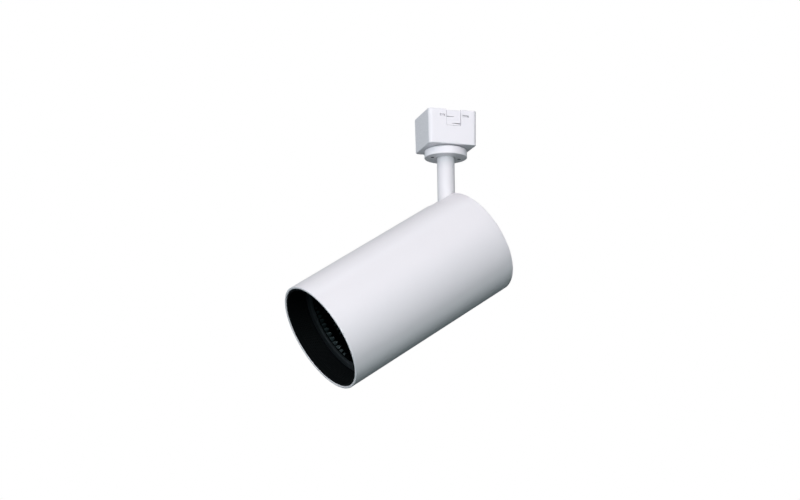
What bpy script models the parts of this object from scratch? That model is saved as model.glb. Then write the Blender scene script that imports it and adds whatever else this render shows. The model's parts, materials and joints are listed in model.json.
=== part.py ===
"""Track spotlight: a track adapter, a turning stem and a tilting cylindrical head.

Metres, +Z up. The origin is the centre of the adapter's top face, which seats on the underside of
the track. At rest the head is turned PAN_AT_REST about the stem and dips TILT_AT_REST below level.
Adapter and stem pieces are drawn in the adapter's frame. Head pieces are drawn in the head's own
frame: origin on the tilt pivot, +X towards the rear cap, mouth at -X, +Z towards the slot.
"""

import math

import bmesh
import bpy
from mathutils import Matrix, Vector

# Clearances
GAP = 0.0003
HOLE_GAP = 0.0003
M2_HOLE = 0.0013
M2_SHANK = 0.001

# Pose at rest
PAN_AT_REST = math.radians(6.6)
TILT_AT_REST = math.radians(32.4)

# Track adapter
ADAPTER_X = 0.0369
ADAPTER_Y = 0.0354
ADAPTER_HEIGHT = 0.026
ADAPTER_CORNER = 0.0028
ADAPTER_DRAFT = 0.00038
ADAPTER_WALL = 0.002
ADAPTER_FLOOR = 0.0025
ADAPTER_EDGE = 0.0008

# Latch slider in the front wall
LATCH_CENTRE_X = 0.0005
LATCH_WINDOW_X = 0.011
LATCH_WINDOW_DEPTH = 0.0122
LATCH_TOP = 0.001
LATCH_LIP = 0.0014
LATCH_INSET = 0.0006
LATCH_FLANGE_TOP = -0.0066
LATCH_FLANGE_BOTTOM = -0.0090
LATCH_FLANGE_THICKNESS = 0.0012
UPPER_CUT_Z = -0.0056
UPPER_CUT_TIP_X = 0.0008
UPPER_CUT_HALF = 0.0003
LOWER_CUT_Z = -0.0106
LOWER_CUT_TIP_X = -0.0009
LOWER_CUT_HALF = 0.0004
CUT_TIP_HALF = 0.0001
LATCH_TRAVEL = 0.0024

# Snap windows and lugs that hold the contact carrier
SNAP_WINDOWS_X = ((-0.0100, -0.0064), (0.0073, 0.0119))
SNAP_WINDOW_TOP = -0.0041
SNAP_WINDOW_BOTTOM = -0.0056
CARRIER_THICKNESS = 0.003

# Contacts
CONTACT_RISE = 0.0025
CONTACT_OFFSET_X = 0.009
CONTACT_THICKNESS = 0.0012
CONTACT_WIDTH = 0.008
EARTH_OFFSET_Y = 0.011

# Swivel disc under the adapter
DISC_RADIUS = 0.01565
DISC_NECK_RADIUS = 0.0142
DISC_NECK = 0.0008
DISC_BOTTOM = -0.0325
DISC_EDGE = 0.0005
DISC_SCREW_RADIUS = 0.0103
RECESS_RADIUS = 0.0018
RECESS_DEPTH = 0.0020
RECESS_SCREW_HEAD = 0.0015
RECESS_SCREW_HEIGHT = 0.0016
RECESS_SCREW_LENGTH = 0.0063

# Stem
STEM_RADIUS = 0.0064
STEM_BORE = 0.0049
STEM_TOP = -0.0155
PIVOT_DEPTH = 0.0806
COLLAR_RADIUS = 0.0103
COLLAR_LUG_REACH = 0.0134
STOP_PIN_RADIUS = 0.0012
STOP_PIN_OFFSET = 0.0123

# Knuckle at the foot of the stem
KNUCKLE_HALF_WIDTH = 0.006
NECK_LENGTH = 0.012
SPIGOT_LENGTH = 0.0065
LEAD_RADIUS = 0.002
LEAD_BORE = 0.0026
LEAD_EXIT_RADIUS = 0.0024
LEAD_EXIT_HEIGHT = 0.0086

# Head
BODY_RADIUS = 0.040
BODY_WALL = 0.0016
BODY_LENGTH = 0.1441
REAR_X = 0.0129
AXIS_Z = -0.023
SLOT_HALF_WIDTH = 0.0072
INNER_RADIUS = BODY_RADIUS - BODY_WALL
FIT_RADIUS = INNER_RADIUS - GAP
MOUTH_X = REAR_X - BODY_LENGTH

# Optics, as depths behind the mouth
SLEEVE_START = 0.0004
SLEEVE_END = 0.0163
SLEEVE_WALL = 0.0012
RING_END = 0.0185
RING_BORE = 0.0318
REFLECTOR_START = 0.0188
REFLECTOR_DEPTH = 0.041
REFLECTOR_MOUTH_RADIUS = 0.0312
REFLECTOR_THROAT_RADIUS = 0.009
REFLECTOR_WALL = 0.001
REFLECTOR_FLANGE_RADIUS = 0.0345

# Hinge
BOLT_RADIUS = 0.0025
CHEEK_INNER = 0.0073
CHEEK_THICKNESS = 0.002
CHEEK_RADIUS = 0.007
BRACKET_BASE_X = -0.012
BRACKET_BASE = 0.002
BRACKET_HALF_HEIGHT = 0.008
BRACKET_SCREW_OFFSET = 0.0045

# Inner stack, from the hinge forward
BULKHEAD_THICKNESS = 0.0022
BULKHEAD_X = BRACKET_BASE_X - GAP - BULKHEAD_THICKNESS
POST_CIRCLE = 0.033
POST_RADIUS = 0.0025
POST_ANGLES = (30, 150, 270)
CAP_THICKNESS = 0.0025
CAP_INSET = 0.0002
HEAT_SINK_FRONT = MOUTH_X + 0.0637
HEAT_SINK_BASE = 0.006
FIN_LENGTH = 0.018
FIN_COUNT = 7
FIN_PITCH = 0.008
FIN_THICKNESS = 0.0016
LED_BOARD_HALF = 0.0095
LED_BOARD_THICKNESS = 0.0015
EMITTER_RADIUS = 0.0072
HOLDER_RADIUS = 0.0215
HOLDER_BORE = 0.0086
HOLDER_THICKNESS = 0.003
HOLDER_SCREW_OFFSET = 0.016
FIN_CIRCLE = 0.029
DRIVER_FRONT_X = -0.040
DRIVER_REAR_X = -0.020
DRIVER_Y = 0.048
DRIVER_Z = 0.040
DRIVER_WALL = 0.0016
BOARD_THICKNESS = 0.0016

BODY_ROUND = 60
ROUND = 40
MEDIUM_ROUND = 24
SMALL_ROUND = 12
SCREW_ROUND = 10
ALONG_X = (0.0, math.radians(90), 0.0)
ALONG_Y = (math.radians(-90), 0.0, 0.0)


# ---------------------------------------------------------------- scene and materials
def clear_scene():
    for thing in list(bpy.data.objects):
        bpy.data.objects.remove(thing, do_unlink=True)


def make_collection(name):
    group = bpy.data.collections.new(name)
    bpy.context.scene.collection.children.link(group)
    return group


def make_material(name, colour, roughness, metallic=0.0):
    material = bpy.data.materials.new(name)
    material.use_nodes = True
    shader = material.node_tree.nodes["Principled BSDF"]
    shader.inputs["Base Color"].default_value = (*colour, 1.0)
    shader.inputs["Roughness"].default_value = roughness
    shader.inputs["Metallic"].default_value = metallic
    return material


clear_scene()
PARTS = make_collection("track_spotlight")
CUTTERS = make_collection("cutters")

WHITE_PAINT = make_material("white_powder_coat", (0.83, 0.83, 0.85), 0.42)
WHITE_PLASTIC = make_material("white_plastic", (0.84, 0.84, 0.87), 0.30)
BLACK_PLASTIC = make_material("black_plastic", (0.020, 0.022, 0.024), 0.45)
DARK_MIRROR = make_material("dark_mirror", (0.10, 0.11, 0.115), 0.18, 1.0)
RING_BLACK = make_material("ring_black", (0.035, 0.038, 0.042), 0.35)
COPPER = make_material("copper", (0.72, 0.40, 0.22), 0.30, 1.0)
BLACK_STEEL = make_material("black_steel", (0.05, 0.05, 0.055), 0.40, 1.0)
ZINC = make_material("zinc_steel", (0.55, 0.56, 0.58), 0.35, 1.0)
ALUMINIUM = make_material("aluminium", (0.62, 0.63, 0.65), 0.40, 1.0)
BOARD_GREEN = make_material("board_green", (0.03, 0.14, 0.07), 0.50)
CERAMIC = make_material("ceramic_white", (0.80, 0.80, 0.76), 0.50)
PHOSPHOR = make_material("phosphor", (0.85, 0.62, 0.12), 0.55)
LEAD_GREY = make_material("lead_sheath", (0.45, 0.45, 0.46), 0.55)
TAPE_YELLOW = make_material("transformer_tape", (0.75, 0.62, 0.12), 0.50)


# ---------------------------------------------------------------- placing
def make_frame(name, location, rotation, parent=None):
    empty = bpy.data.objects.new(name, None)
    PARTS.objects.link(empty)
    empty.parent = parent
    empty.location = location
    empty.rotation_euler = rotation
    return empty


ADAPTER = make_frame("adapter_frame", (0, 0, 0), (0, 0, 0))
LATCH = make_frame("latch_frame", (0, 0, 0), (0, 0, 0), ADAPTER)
STEM = make_frame("pan_axis", (0, 0, 0), (0, 0, PAN_AT_REST), ADAPTER)
HEAD = make_frame("tilt_axis", (0, 0, -PIVOT_DEPTH), (0, -TILT_AT_REST, 0), STEM)


def place(name, mesh, frame, material=None, location=(0, 0, 0), rotation=(0, 0, 0)):
    """Add a mesh as a part, or as a cutter when it has no material."""
    thing = bpy.data.objects.new(name, mesh)
    if material is None:
        CUTTERS.objects.link(thing)
        thing.hide_render = True
        thing.display_type = "WIRE"
    else:
        PARTS.objects.link(thing)
        mesh.materials.append(material)
    thing.parent = frame
    thing.location = location
    thing.rotation_euler = rotation
    return thing


def to_mesh(bm, name, smooth=False):
    bmesh.ops.recalc_face_normals(bm, faces=bm.faces)
    mesh = bpy.data.meshes.new(name)
    bm.to_mesh(mesh)
    bm.free()
    if smooth:
        mesh.shade_smooth()
        mesh.set_sharp_from_angle(angle=math.radians(35))
    return mesh


# ---------------------------------------------------------------- shapes
def add_box(bm, low, high):
    low = Vector(low)
    high = Vector(high)
    made = bmesh.ops.create_cube(bm, size=1.0)
    scale = Matrix.Diagonal((*(high - low), 1.0))
    bmesh.ops.transform(bm, matrix=Matrix.Translation((low + high) / 2) @ scale, verts=made["verts"])
    return made["verts"]


def box_mesh(name, boxes, bevel=0.0):
    """One or more plain boxes given by their corners, with the edges bevelled if asked."""
    bm = bmesh.new()
    for low, high in boxes:
        add_box(bm, low, high)
    if bevel > 0:
        bmesh.ops.bevel(bm, geom=bm.edges[:], offset=bevel, segments=1, profile=0.5, affect="EDGES")
    return to_mesh(bm, name)


def rod_mesh(name, radius, start, end, segments=SMALL_ROUND):
    """A cylinder along local Z from start to end, turned half a facet off the axes."""
    bm = bmesh.new()
    bmesh.ops.create_cone(
        bm, cap_ends=True, segments=segments, radius1=radius, radius2=radius, depth=end - start
    )
    half_facet = Matrix.Rotation(math.pi / segments, 4, "Z")
    middle = Matrix.Translation((0, 0, (start + end) / 2))
    bmesh.ops.transform(bm, matrix=middle @ half_facet, verts=bm.verts)
    return to_mesh(bm, name, smooth=True)


def rounded_block_mesh(name, size_x, size_y, low, high, corner, draft=0.0, edge=0.0, steps=4):
    """A block with rounded upright corners, narrowed by draft and rounded by edge at its low end."""
    bm = bmesh.new()
    verts = add_box(bm, (-size_x / 2, -size_y / 2, low), (size_x / 2, size_y / 2, high))
    for vert in verts:
        if vert.co.z < (low + high) / 2:
            vert.co.x -= math.copysign(draft, vert.co.x)
            vert.co.y -= math.copysign(draft, vert.co.y)
    upright = [e for e in bm.edges if abs(e.verts[0].co.z - e.verts[1].co.z) > (high - low) / 2]
    bmesh.ops.bevel(bm, geom=upright, offset=corner, segments=steps, profile=0.5, affect="EDGES")
    if edge > 0:
        rim = [e for e in bm.edges if all(abs(v.co.z - low) < GAP / 10 for v in e.verts)]
        bmesh.ops.bevel(bm, geom=rim, offset=edge, segments=2, profile=0.5, affect="EDGES")
    return to_mesh(bm, name, smooth=True)


def turned(name, profile, frame, material, location=(0, 0, 0), rotation=(0, 0, 0), segments=ROUND):
    """A turned piece. The profile holds (radius, height) points, down the outside and up the inside."""
    mesh = bpy.data.meshes.new(name)
    verts = [(radius, 0.0, height) for radius, height in profile]
    edges = [(i, i + 1) for i in range(len(profile) - 1)]
    if profile[0][0] > 0 or profile[-1][0] > 0:
        edges.append((len(profile) - 1, 0))
    mesh.from_pydata(verts, edges, [])
    thing = place(name, mesh, frame, material, location, rotation)
    screw = thing.modifiers.new("turn", "SCREW")
    screw.axis = "Z"
    screw.angle = math.tau
    screw.steps = segments
    screw.render_steps = segments
    screw.use_merge_vertices = True
    screw.merge_threshold = 0.00001
    screw.use_smooth_shade = True
    return thing


def ring_profile(bore, radius, low, high):
    """The section of a plain ring."""
    return [(radius, high), (radius, low), (bore, low), (bore, high)]


def plate_mesh(name, outline, thickness):
    """A flat plate in local XY, centred on local Z, from a closed outline."""
    curve = bpy.data.curves.new(name + "_outline", "CURVE")
    curve.dimensions = "2D"
    curve.fill_mode = "BOTH"
    curve.extrude = thickness / 2
    spline = curve.splines.new("POLY")
    spline.points.add(len(outline) - 1)
    for point, (x, y) in zip(spline.points, outline):
        point.co = (x, y, 0.0, 1.0)
    spline.use_cyclic_u = True
    return curve_mesh(name, curve)


def curve_mesh(name, curve):
    """The closed mesh of a curve, its caps welded on."""
    thing = bpy.data.objects.new(name + "_curve", curve)
    CUTTERS.objects.link(thing)
    evaluated = thing.evaluated_get(bpy.context.evaluated_depsgraph_get())
    mesh = bpy.data.meshes.new_from_object(evaluated)
    bpy.data.objects.remove(thing, do_unlink=True)
    bm = bmesh.new()
    bm.from_mesh(mesh)
    bmesh.ops.remove_doubles(bm, verts=bm.verts, dist=0.00001)
    return to_mesh(bm, name)


def arc(centre, radius, start, end, steps):
    """Points on an arc from start to end, in degrees."""
    points = []
    for i in range(steps + 1):
        angle = math.radians(start + (end - start) * i / steps)
        points.append((centre[0] + radius * math.cos(angle), centre[1] + radius * math.sin(angle)))
    return points


def boolean(thing, cutter, operation="DIFFERENCE"):
    modifier = thing.modifiers.new(cutter.name, "BOOLEAN")
    modifier.operation = operation
    modifier.solver = "EXACT"
    modifier.object = cutter


def cut_boxes(thing, frame, boxes, operation="DIFFERENCE"):
    name = f"{thing.name}_{operation.lower()}_boxes_{len(thing.modifiers)}"
    boolean(thing, place(name, box_mesh(name, boxes), frame), operation)


def cut_rod(thing, frame, radius, start, end, location=(0, 0, 0), rotation=(0, 0, 0), segments=SMALL_ROUND):
    name = f"{thing.name}_hole_{len(thing.modifiers)}"
    cutter = place(name, rod_mesh(name, radius, start, end, segments), frame, None, location, rotation)
    boolean(thing, cutter)


def screw_profile(head_radius, head_height, shank_radius, length, recess_radius):
    """A cheese-head screw standing on z = 0 under its head, shank down, with a drive recess."""
    depth = head_height * 0.55
    return [
        (0.0, head_height - depth), (recess_radius, head_height - depth), (recess_radius, head_height),
        (head_radius, head_height), (head_radius, 0.0),
        (shank_radius, 0.0), (shank_radius, -length), (0.0, -length),
    ]


def add_screw(name, frame, material, head_radius, head_height, shank_radius, length, location, rotation):
    profile = screw_profile(head_radius, head_height, shank_radius, length, head_radius * 0.45)
    return turned(name, profile, frame, material, location, rotation, SCREW_ROUND)


# ---------------------------------------------------------------- adapter
def adapter_housing():
    mesh = rounded_block_mesh(
        "adapter_housing", ADAPTER_X, ADAPTER_Y, -ADAPTER_HEIGHT, 0.0,
        ADAPTER_CORNER, ADAPTER_DRAFT, ADAPTER_EDGE, steps=3,
    )
    housing = place("adapter_housing", mesh, ADAPTER, WHITE_PLASTIC)
    inner_x = ADAPTER_X - 2 * ADAPTER_WALL
    inner_y = ADAPTER_Y - 2 * ADAPTER_WALL
    floor = -ADAPTER_HEIGHT + ADAPTER_FLOOR
    cavity = rounded_block_mesh("housing_cavity", inner_x, inner_y, floor, 0.001, 0.0012, steps=2)
    boolean(housing, place("housing_cavity", cavity, ADAPTER))

    outer = ADAPTER_Y / 2 + 0.001
    inner = ADAPTER_Y / 2 - ADAPTER_WALL - 0.001
    boxes = [(
        (LATCH_CENTRE_X - LATCH_WINDOW_X / 2, -outer, -LATCH_WINDOW_DEPTH),
        (LATCH_CENTRE_X + LATCH_WINDOW_X / 2, -inner, 0.001),
    )]
    for low_x, high_x in SNAP_WINDOWS_X:
        boxes.append(((low_x, -outer, SNAP_WINDOW_BOTTOM), (high_x, -inner, SNAP_WINDOW_TOP)))
        boxes.append(((low_x, inner, SNAP_WINDOW_BOTTOM), (high_x, outer, SNAP_WINDOW_TOP)))
    cut_boxes(housing, ADAPTER, boxes)

    cut_rod(housing, ADAPTER, STEM_RADIUS + 0.0004, -0.03, -0.02, segments=MEDIUM_ROUND)
    for side in (-1, 1):
        cut_rod(housing, ADAPTER, M2_HOLE, -0.03, -0.02, (side * DISC_SCREW_RADIUS, 0, 0))
    pin_hole = STOP_PIN_RADIUS + HOLE_GAP
    cut_rod(housing, ADAPTER, pin_hole, floor - 0.0014, -0.02, (0, STOP_PIN_OFFSET, 0))


def contact_carrier():
    size_x = ADAPTER_X - 2 * ADAPTER_WALL - 2 * GAP
    size_y = ADAPTER_Y - 2 * ADAPTER_WALL - 2 * GAP
    mesh = rounded_block_mesh("contact_carrier", size_x, size_y, -CARRIER_THICKNESS, 0.0, 0.001, steps=2)
    carrier = place("contact_carrier", mesh, ADAPTER, WHITE_PLASTIC)
    legs = []
    lugs = []
    leg_outer = size_y / 2
    leg_inner = leg_outer - 0.0014
    lug_outer = ADAPTER_Y / 2 - 0.0007
    for low_x, high_x in SNAP_WINDOWS_X:
        low_x += GAP
        high_x -= GAP
        for side in (-1, 1):
            across = sorted((side * leg_inner, side * leg_outer))
            legs.append(((low_x, across[0], -0.0062), (high_x, across[1], -CARRIER_THICKNESS + 0.0005)))
            reach = sorted((side * (leg_outer - 0.0005), side * lug_outer))
            low_z = SNAP_WINDOW_BOTTOM + GAP
            high_z = SNAP_WINDOW_TOP - GAP
            lugs.append(((low_x + 0.0001, reach[0], low_z), (high_x - 0.0001, reach[1], high_z)))
    cut_boxes(carrier, ADAPTER, legs, "UNION")
    cut_boxes(carrier, ADAPTER, lugs, "UNION")
    slot = CONTACT_THICKNESS / 2 + HOLE_GAP
    reach = CONTACT_WIDTH / 2 + HOLE_GAP
    slots = [
        ((side * CONTACT_OFFSET_X - slot, -reach, -0.01), (side * CONTACT_OFFSET_X + slot, reach, 0.01))
        for side in (-1, 1)
    ]
    slots.append(((-reach, EARTH_OFFSET_Y - slot, -0.01), (reach, EARTH_OFFSET_Y + slot, 0.01)))
    cut_boxes(carrier, ADAPTER, slots)


def contact_blade(name, location, rotation):
    """A copper blade: rounded crown above the carrier and a narrower tail below it."""
    half = CONTACT_WIDTH / 2
    tail = half * 0.5
    crown = 0.0012
    outline = [(tail, -0.0105), (tail, -0.0045), (half, -0.0045)]
    outline += arc((half - crown, CONTACT_RISE - crown), crown, 0, 90, 4)
    outline += arc((crown - half, CONTACT_RISE - crown), crown, 90, 180, 4)
    outline += [(-half, -0.0045), (-tail, -0.0045), (-tail, -0.0105)]
    place(name, plate_mesh(name, outline, CONTACT_THICKNESS), ADAPTER, COPPER, location, rotation)


def contacts():
    upright = math.radians(90)
    contact_blade("live_contact", (-CONTACT_OFFSET_X, 0, 0), (upright, 0, upright))
    contact_blade("neutral_contact", (CONTACT_OFFSET_X, 0, 0), (upright, 0, upright))
    contact_blade("earth_contact", (0, EARTH_OFFSET_Y, 0), (upright, 0, 0))


def terminal_block():
    """The block under the carrier where the stem's lead ends, with its two clamp screws."""
    front = 0.0022
    rear = 0.0098
    half = 0.0068
    top = -CARRIER_THICKNESS - GAP
    mesh = box_mesh("terminal_block", [((-half, front, -0.0115), (half, rear, top))], 0.0004)
    block = place("terminal_block", mesh, ADAPTER, BLACK_PLASTIC)
    for side, label in ((-1, "left"), (1, "right")):
        x = side * 0.0034
        cut_rod(block, ADAPTER, 0.0018, front - 0.001, front + 0.0016, (x, 0, -0.0072), ALONG_Y)
        cut_rod(block, ADAPTER, 0.0011, front, front + 0.0048, (x, 0, -0.0072), ALONG_Y)
        add_screw(
            f"terminal_screw_{label}", ADAPTER, ZINC, 0.0014, 0.0011, 0.0008, 0.0026,
            (x, front + 0.0013, -0.0072), (math.radians(90), 0, 0),
        )


def swivel_disc():
    top = -ADAPTER_HEIGHT - GAP
    shoulder = top - DISC_NECK
    bore = STEM_RADIUS + HOLE_GAP
    profile = [
        (DISC_NECK_RADIUS, top), (DISC_NECK_RADIUS, shoulder), (DISC_RADIUS - DISC_EDGE / 2, shoulder),
        (DISC_RADIUS, shoulder - DISC_EDGE / 2), (DISC_RADIUS, DISC_BOTTOM + DISC_EDGE),
        (DISC_RADIUS - DISC_EDGE * 0.3, DISC_BOTTOM + DISC_EDGE * 0.3),
        (DISC_RADIUS - DISC_EDGE, DISC_BOTTOM), (bore, DISC_BOTTOM), (bore, top),
    ]
    disc = turned("swivel_disc", profile, ADAPTER, WHITE_PLASTIC)
    for side, label in ((-1, "left"), (1, "right")):
        x = side * DISC_SCREW_RADIUS
        seat = DISC_BOTTOM + RECESS_DEPTH
        cut_rod(disc, ADAPTER, RECESS_RADIUS, DISC_BOTTOM - 0.001, seat, (x, 0, 0))
        cut_rod(disc, ADAPTER, M2_HOLE, DISC_BOTTOM, top + 0.001, (x, 0, 0))
        add_screw(
            f"disc_screw_{label}", ADAPTER, BLACK_STEEL, RECESS_SCREW_HEAD, RECESS_SCREW_HEIGHT, M2_SHANK,
            RECESS_SCREW_LENGTH, (x, 0, seat - GAP), (math.radians(180), 0, 0),
        )


def stop_pin():
    floor = -ADAPTER_HEIGHT + ADAPTER_FLOOR
    low = floor - 0.0014 + GAP
    radius = STOP_PIN_RADIUS
    profile = [(0.0, -0.0182), (radius * 0.7, -0.0182), (radius, -0.0186), (radius, low), (0.0, low)]
    turned("stop_pin", profile, ADAPTER, ZINC, (0, STOP_PIN_OFFSET, 0), segments=SCREW_ROUND)


# ---------------------------------------------------------------- latch
def latch_slider():
    """The lock slider, which rises into the track. Two tapering cuts make it springy."""
    face = -(ADAPTER_Y / 2 - LATCH_INSET)
    back = -(ADAPTER_Y / 2 - ADAPTER_WALL)
    half = LATCH_WINDOW_X / 2 - GAP
    low = -LATCH_WINDOW_DEPTH + GAP
    outline = [(-half, -LATCH_TOP), (-half, low), (half, low), (half, -LATCH_TOP)]
    depth = back - face
    slider = place(
        "latch_slider", plate_mesh("latch_slider", outline, depth), LATCH, WHITE_PLASTIC,
        (LATCH_CENTRE_X, face + depth / 2, 0), (math.radians(90), 0, 0),
    )
    left = LATCH_CENTRE_X - half
    right = LATCH_CENTRE_X + half
    neck = [(
        (left + GAP, back - GAP, LATCH_FLANGE_BOTTOM + GAP),
        (right - GAP, back + 2 * GAP, LATCH_FLANGE_TOP - GAP),
    )]
    flange = [(
        (left - LATCH_LIP, back + GAP, LATCH_FLANGE_BOTTOM),
        (right + LATCH_LIP, back + GAP + LATCH_FLANGE_THICKNESS, LATCH_FLANGE_TOP),
    )]
    cut_boxes(slider, LATCH, neck, "UNION")
    cut_boxes(slider, LATCH, flange, "UNION")
    for side, tip, level, half_cut in (
        (-1, UPPER_CUT_TIP_X, UPPER_CUT_Z, UPPER_CUT_HALF),
        (1, LOWER_CUT_TIP_X, LOWER_CUT_Z, LOWER_CUT_HALF),
    ):
        mouth = LATCH_CENTRE_X + side * (half + GAP)
        cut = [
            (mouth, level + half_cut), (tip, level + CUT_TIP_HALF),
            (tip, level - CUT_TIP_HALF), (mouth, level - half_cut),
        ]
        mesh = plate_mesh("spring_cut", cut, depth + 2 * GAP)
        location = (0, face + depth / 2, 0)
        boolean(slider, place("spring_cut", mesh, LATCH, None, location, (math.radians(90), 0, 0)))


# ---------------------------------------------------------------- stem
def stem():
    foot = -PIVOT_DEPTH + NECK_LENGTH + GAP
    edge = 0.0004
    profile = [
        (STEM_RADIUS - edge, STEM_TOP), (STEM_RADIUS, STEM_TOP - edge), (STEM_RADIUS, foot),
        (STEM_BORE, foot), (STEM_BORE, STEM_TOP),
    ]
    tube = turned("stem_tube", profile, STEM, WHITE_PAINT, segments=32)
    pin_height = foot + 0.0032
    pin_hole = M2_SHANK + HOLE_GAP
    cut_rod(tube, STEM, pin_hole, -0.01, 0.01, (0, 0, pin_height), ALONG_Y)

    shoulder = -PIVOT_DEPTH + NECK_LENGTH
    spigot = STEM_BORE - GAP
    top = shoulder + SPIGOT_LENGTH
    profile = [
        (spigot - 0.0004, top), (spigot, top - 0.0004), (spigot, shoulder),
        (STEM_RADIUS, shoulder), (STEM_RADIUS, -PIVOT_DEPTH), (0.0, -PIVOT_DEPTH), (0.0, top),
    ]
    knuckle = turned("stem_knuckle", profile, STEM, ZINC, segments=MEDIUM_ROUND)
    barrel_half = KNUCKLE_HALF_WIDTH + 0.001
    barrel = rod_mesh("knuckle_barrel", STEM_RADIUS, -barrel_half, barrel_half, MEDIUM_ROUND)
    turn = (math.radians(-90), 0, 0)
    boolean(knuckle, place("knuckle_barrel", barrel, STEM, None, (0, 0, -PIVOT_DEPTH), turn), "UNION")
    flats = []
    for side in (-1, 1):
        across = sorted((side * KNUCKLE_HALF_WIDTH, side * 0.02))
        flats.append((
            (-0.02, across[0], -PIVOT_DEPTH - 0.01), (0.02, across[1], -PIVOT_DEPTH + STEM_RADIUS + 0.0008),
        ))
    cut_boxes(knuckle, STEM, flats)
    cut_rod(knuckle, STEM, BOLT_RADIUS + HOLE_GAP, -0.02, 0.02, (0, 0, -PIVOT_DEPTH), ALONG_Y)
    exit_height = -PIVOT_DEPTH + LEAD_EXIT_HEIGHT
    cut_rod(knuckle, STEM, LEAD_BORE, exit_height, top + 0.001)
    cut_rod(knuckle, STEM, LEAD_EXIT_RADIUS, -0.02, LEAD_EXIT_RADIUS, (0, 0, exit_height), ALONG_X)
    cut_rod(knuckle, STEM, pin_hole, -0.01, 0.01, (0, 0, pin_height), ALONG_Y)
    return pin_height


def knuckle_pins(height):
    """The pin halves either side of the lead that lock the knuckle in the tube."""
    for side, label in ((-1, "left"), (1, "right")):
        start, end = sorted((side * (LEAD_RADIUS + 0.0004), side * (STEM_RADIUS - 0.0001)))
        name = f"knuckle_pin_{label}"
        place(name, rod_mesh(name, 0.001, start, end), STEM, ZINC, (0, 0, height), ALONG_Y)


def stem_lead():
    """The lead inside the stem, from the terminal block to its exit above the pivot."""
    exit_height = -PIVOT_DEPTH + LEAD_EXIT_HEIGHT
    bend = 0.0029
    route = [(0.0, -0.0132), (0.0, exit_height + bend)]
    route += arc((-bend, exit_height + bend), bend, 0, -90, 5)[1:]
    route.append((-0.0062, exit_height))
    curve = bpy.data.curves.new("stem_lead", "CURVE")
    curve.dimensions = "3D"
    curve.bevel_depth = LEAD_RADIUS
    curve.bevel_resolution = 2
    curve.use_fill_caps = True
    spline = curve.splines.new("POLY")
    spline.points.add(len(route) - 1)
    for point, (x, z) in zip(spline.points, route):
        point.co = (x, 0.0, z, 1.0)
    place("stem_lead", curve_mesh("stem_lead", curve), STEM, LEAD_GREY)


def swivel_stack():
    """Wave washer, stop collar with its lug, and the nut that holds the stem in the adapter."""
    floor = -ADAPTER_HEIGHT + ADAPTER_FLOOR
    bore = STEM_RADIUS + HOLE_GAP
    low = floor + 0.0004
    turned("wave_washer", ring_profile(bore, 0.0092, low, low + 0.0005), STEM, ZINC, segments=MEDIUM_ROUND)
    low += 0.0005 + GAP
    high = low + 0.0027
    collar = turned("stop_collar", ring_profile(bore, COLLAR_RADIUS, low, high), STEM, ZINC, segments=32)
    lug = [((-0.0014, -COLLAR_LUG_REACH, low + 0.0004), (0.0014, -COLLAR_RADIUS + 0.001, high - 0.0004))]
    cut_boxes(collar, STEM, lug, "UNION")
    low = high + GAP
    nut = place("stem_nut", rod_mesh("stem_nut", 0.0092, low, low + 0.003, 6), STEM, ZINC)
    cut_rod(nut, STEM, bore, -0.03, -0.01, segments=MEDIUM_ROUND)


# ---------------------------------------------------------------- head shell
def head_turned(name, profile, material, segments=ROUND):
    """A turned piece on the tube's axis: its profile heights are places along the head's X."""
    return turned(name, profile, HEAD, material, (0, 0, AXIS_Z), ALONG_X, segments)


def slot_cutter(name, reach_x, bottom_z):
    """The slot's outline, seen from above: open to the rear and round at the pivot."""
    outline = [(reach_x, SLOT_HALF_WIDTH)]
    outline += arc((0, 0), SLOT_HALF_WIDTH, 90, 270, 10)
    outline.append((reach_x, -SLOT_HALF_WIDTH))
    height = 0.03
    mesh = plate_mesh(name, outline, height)
    return place(name, mesh, HEAD, None, (0, 0, bottom_z + height / 2))


def body_tube():
    edge = 0.0004
    lip = INNER_RADIUS + edge / 2
    profile = [
        (BODY_RADIUS - edge, REAR_X), (BODY_RADIUS, REAR_X - edge), (BODY_RADIUS, MOUTH_X + edge),
        (BODY_RADIUS - edge, MOUTH_X), (lip, MOUTH_X), (INNER_RADIUS, MOUTH_X + edge / 2),
        (INNER_RADIUS, REAR_X),
    ]
    tube = head_turned("body_tube", profile, WHITE_PAINT, BODY_ROUND)
    boolean(tube, slot_cutter("tube_slot", REAR_X + 0.005, 0.004))
    for angle in (30, 150):
        set_screw_hole(tube, angle)


def radial_rotation(angle):
    """Turns local Z to point outward at this angle from the head's +Z towards its +Y."""
    return (math.radians(-angle), 0, 0)


def set_screw_hole(thing, angle):
    location = (HEAT_SINK_FRONT + HEAT_SINK_BASE / 2, 0, AXIS_Z)
    cut_rod(thing, HEAD, 0.0015 + HOLE_GAP, 0.0335, 0.045, location, radial_rotation(angle))


def set_screws():
    location = (HEAT_SINK_FRONT + HEAT_SINK_BASE / 2, 0, AXIS_Z)
    for angle, label in ((30, "upper"), (150, "lower")):
        top = BODY_RADIUS - 0.0003
        profile = [
            (0.0, top - 0.0008), (0.0007, top - 0.0008), (0.0007, top), (0.0015, top),
            (0.0015, 0.0342), (0.0008, 0.0338), (0.0, 0.0338),
        ]
        turned(f"set_screw_{label}", profile, HEAD, ZINC, location, radial_rotation(angle), SCREW_ROUND)


def post_places():
    """Height and side of each post, on its circle about the tube's axis."""
    for angle in POST_ANGLES:
        turn = math.radians(angle)
        yield POST_CIRCLE * math.cos(turn), AXIS_Z + POST_CIRCLE * math.sin(turn)


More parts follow.
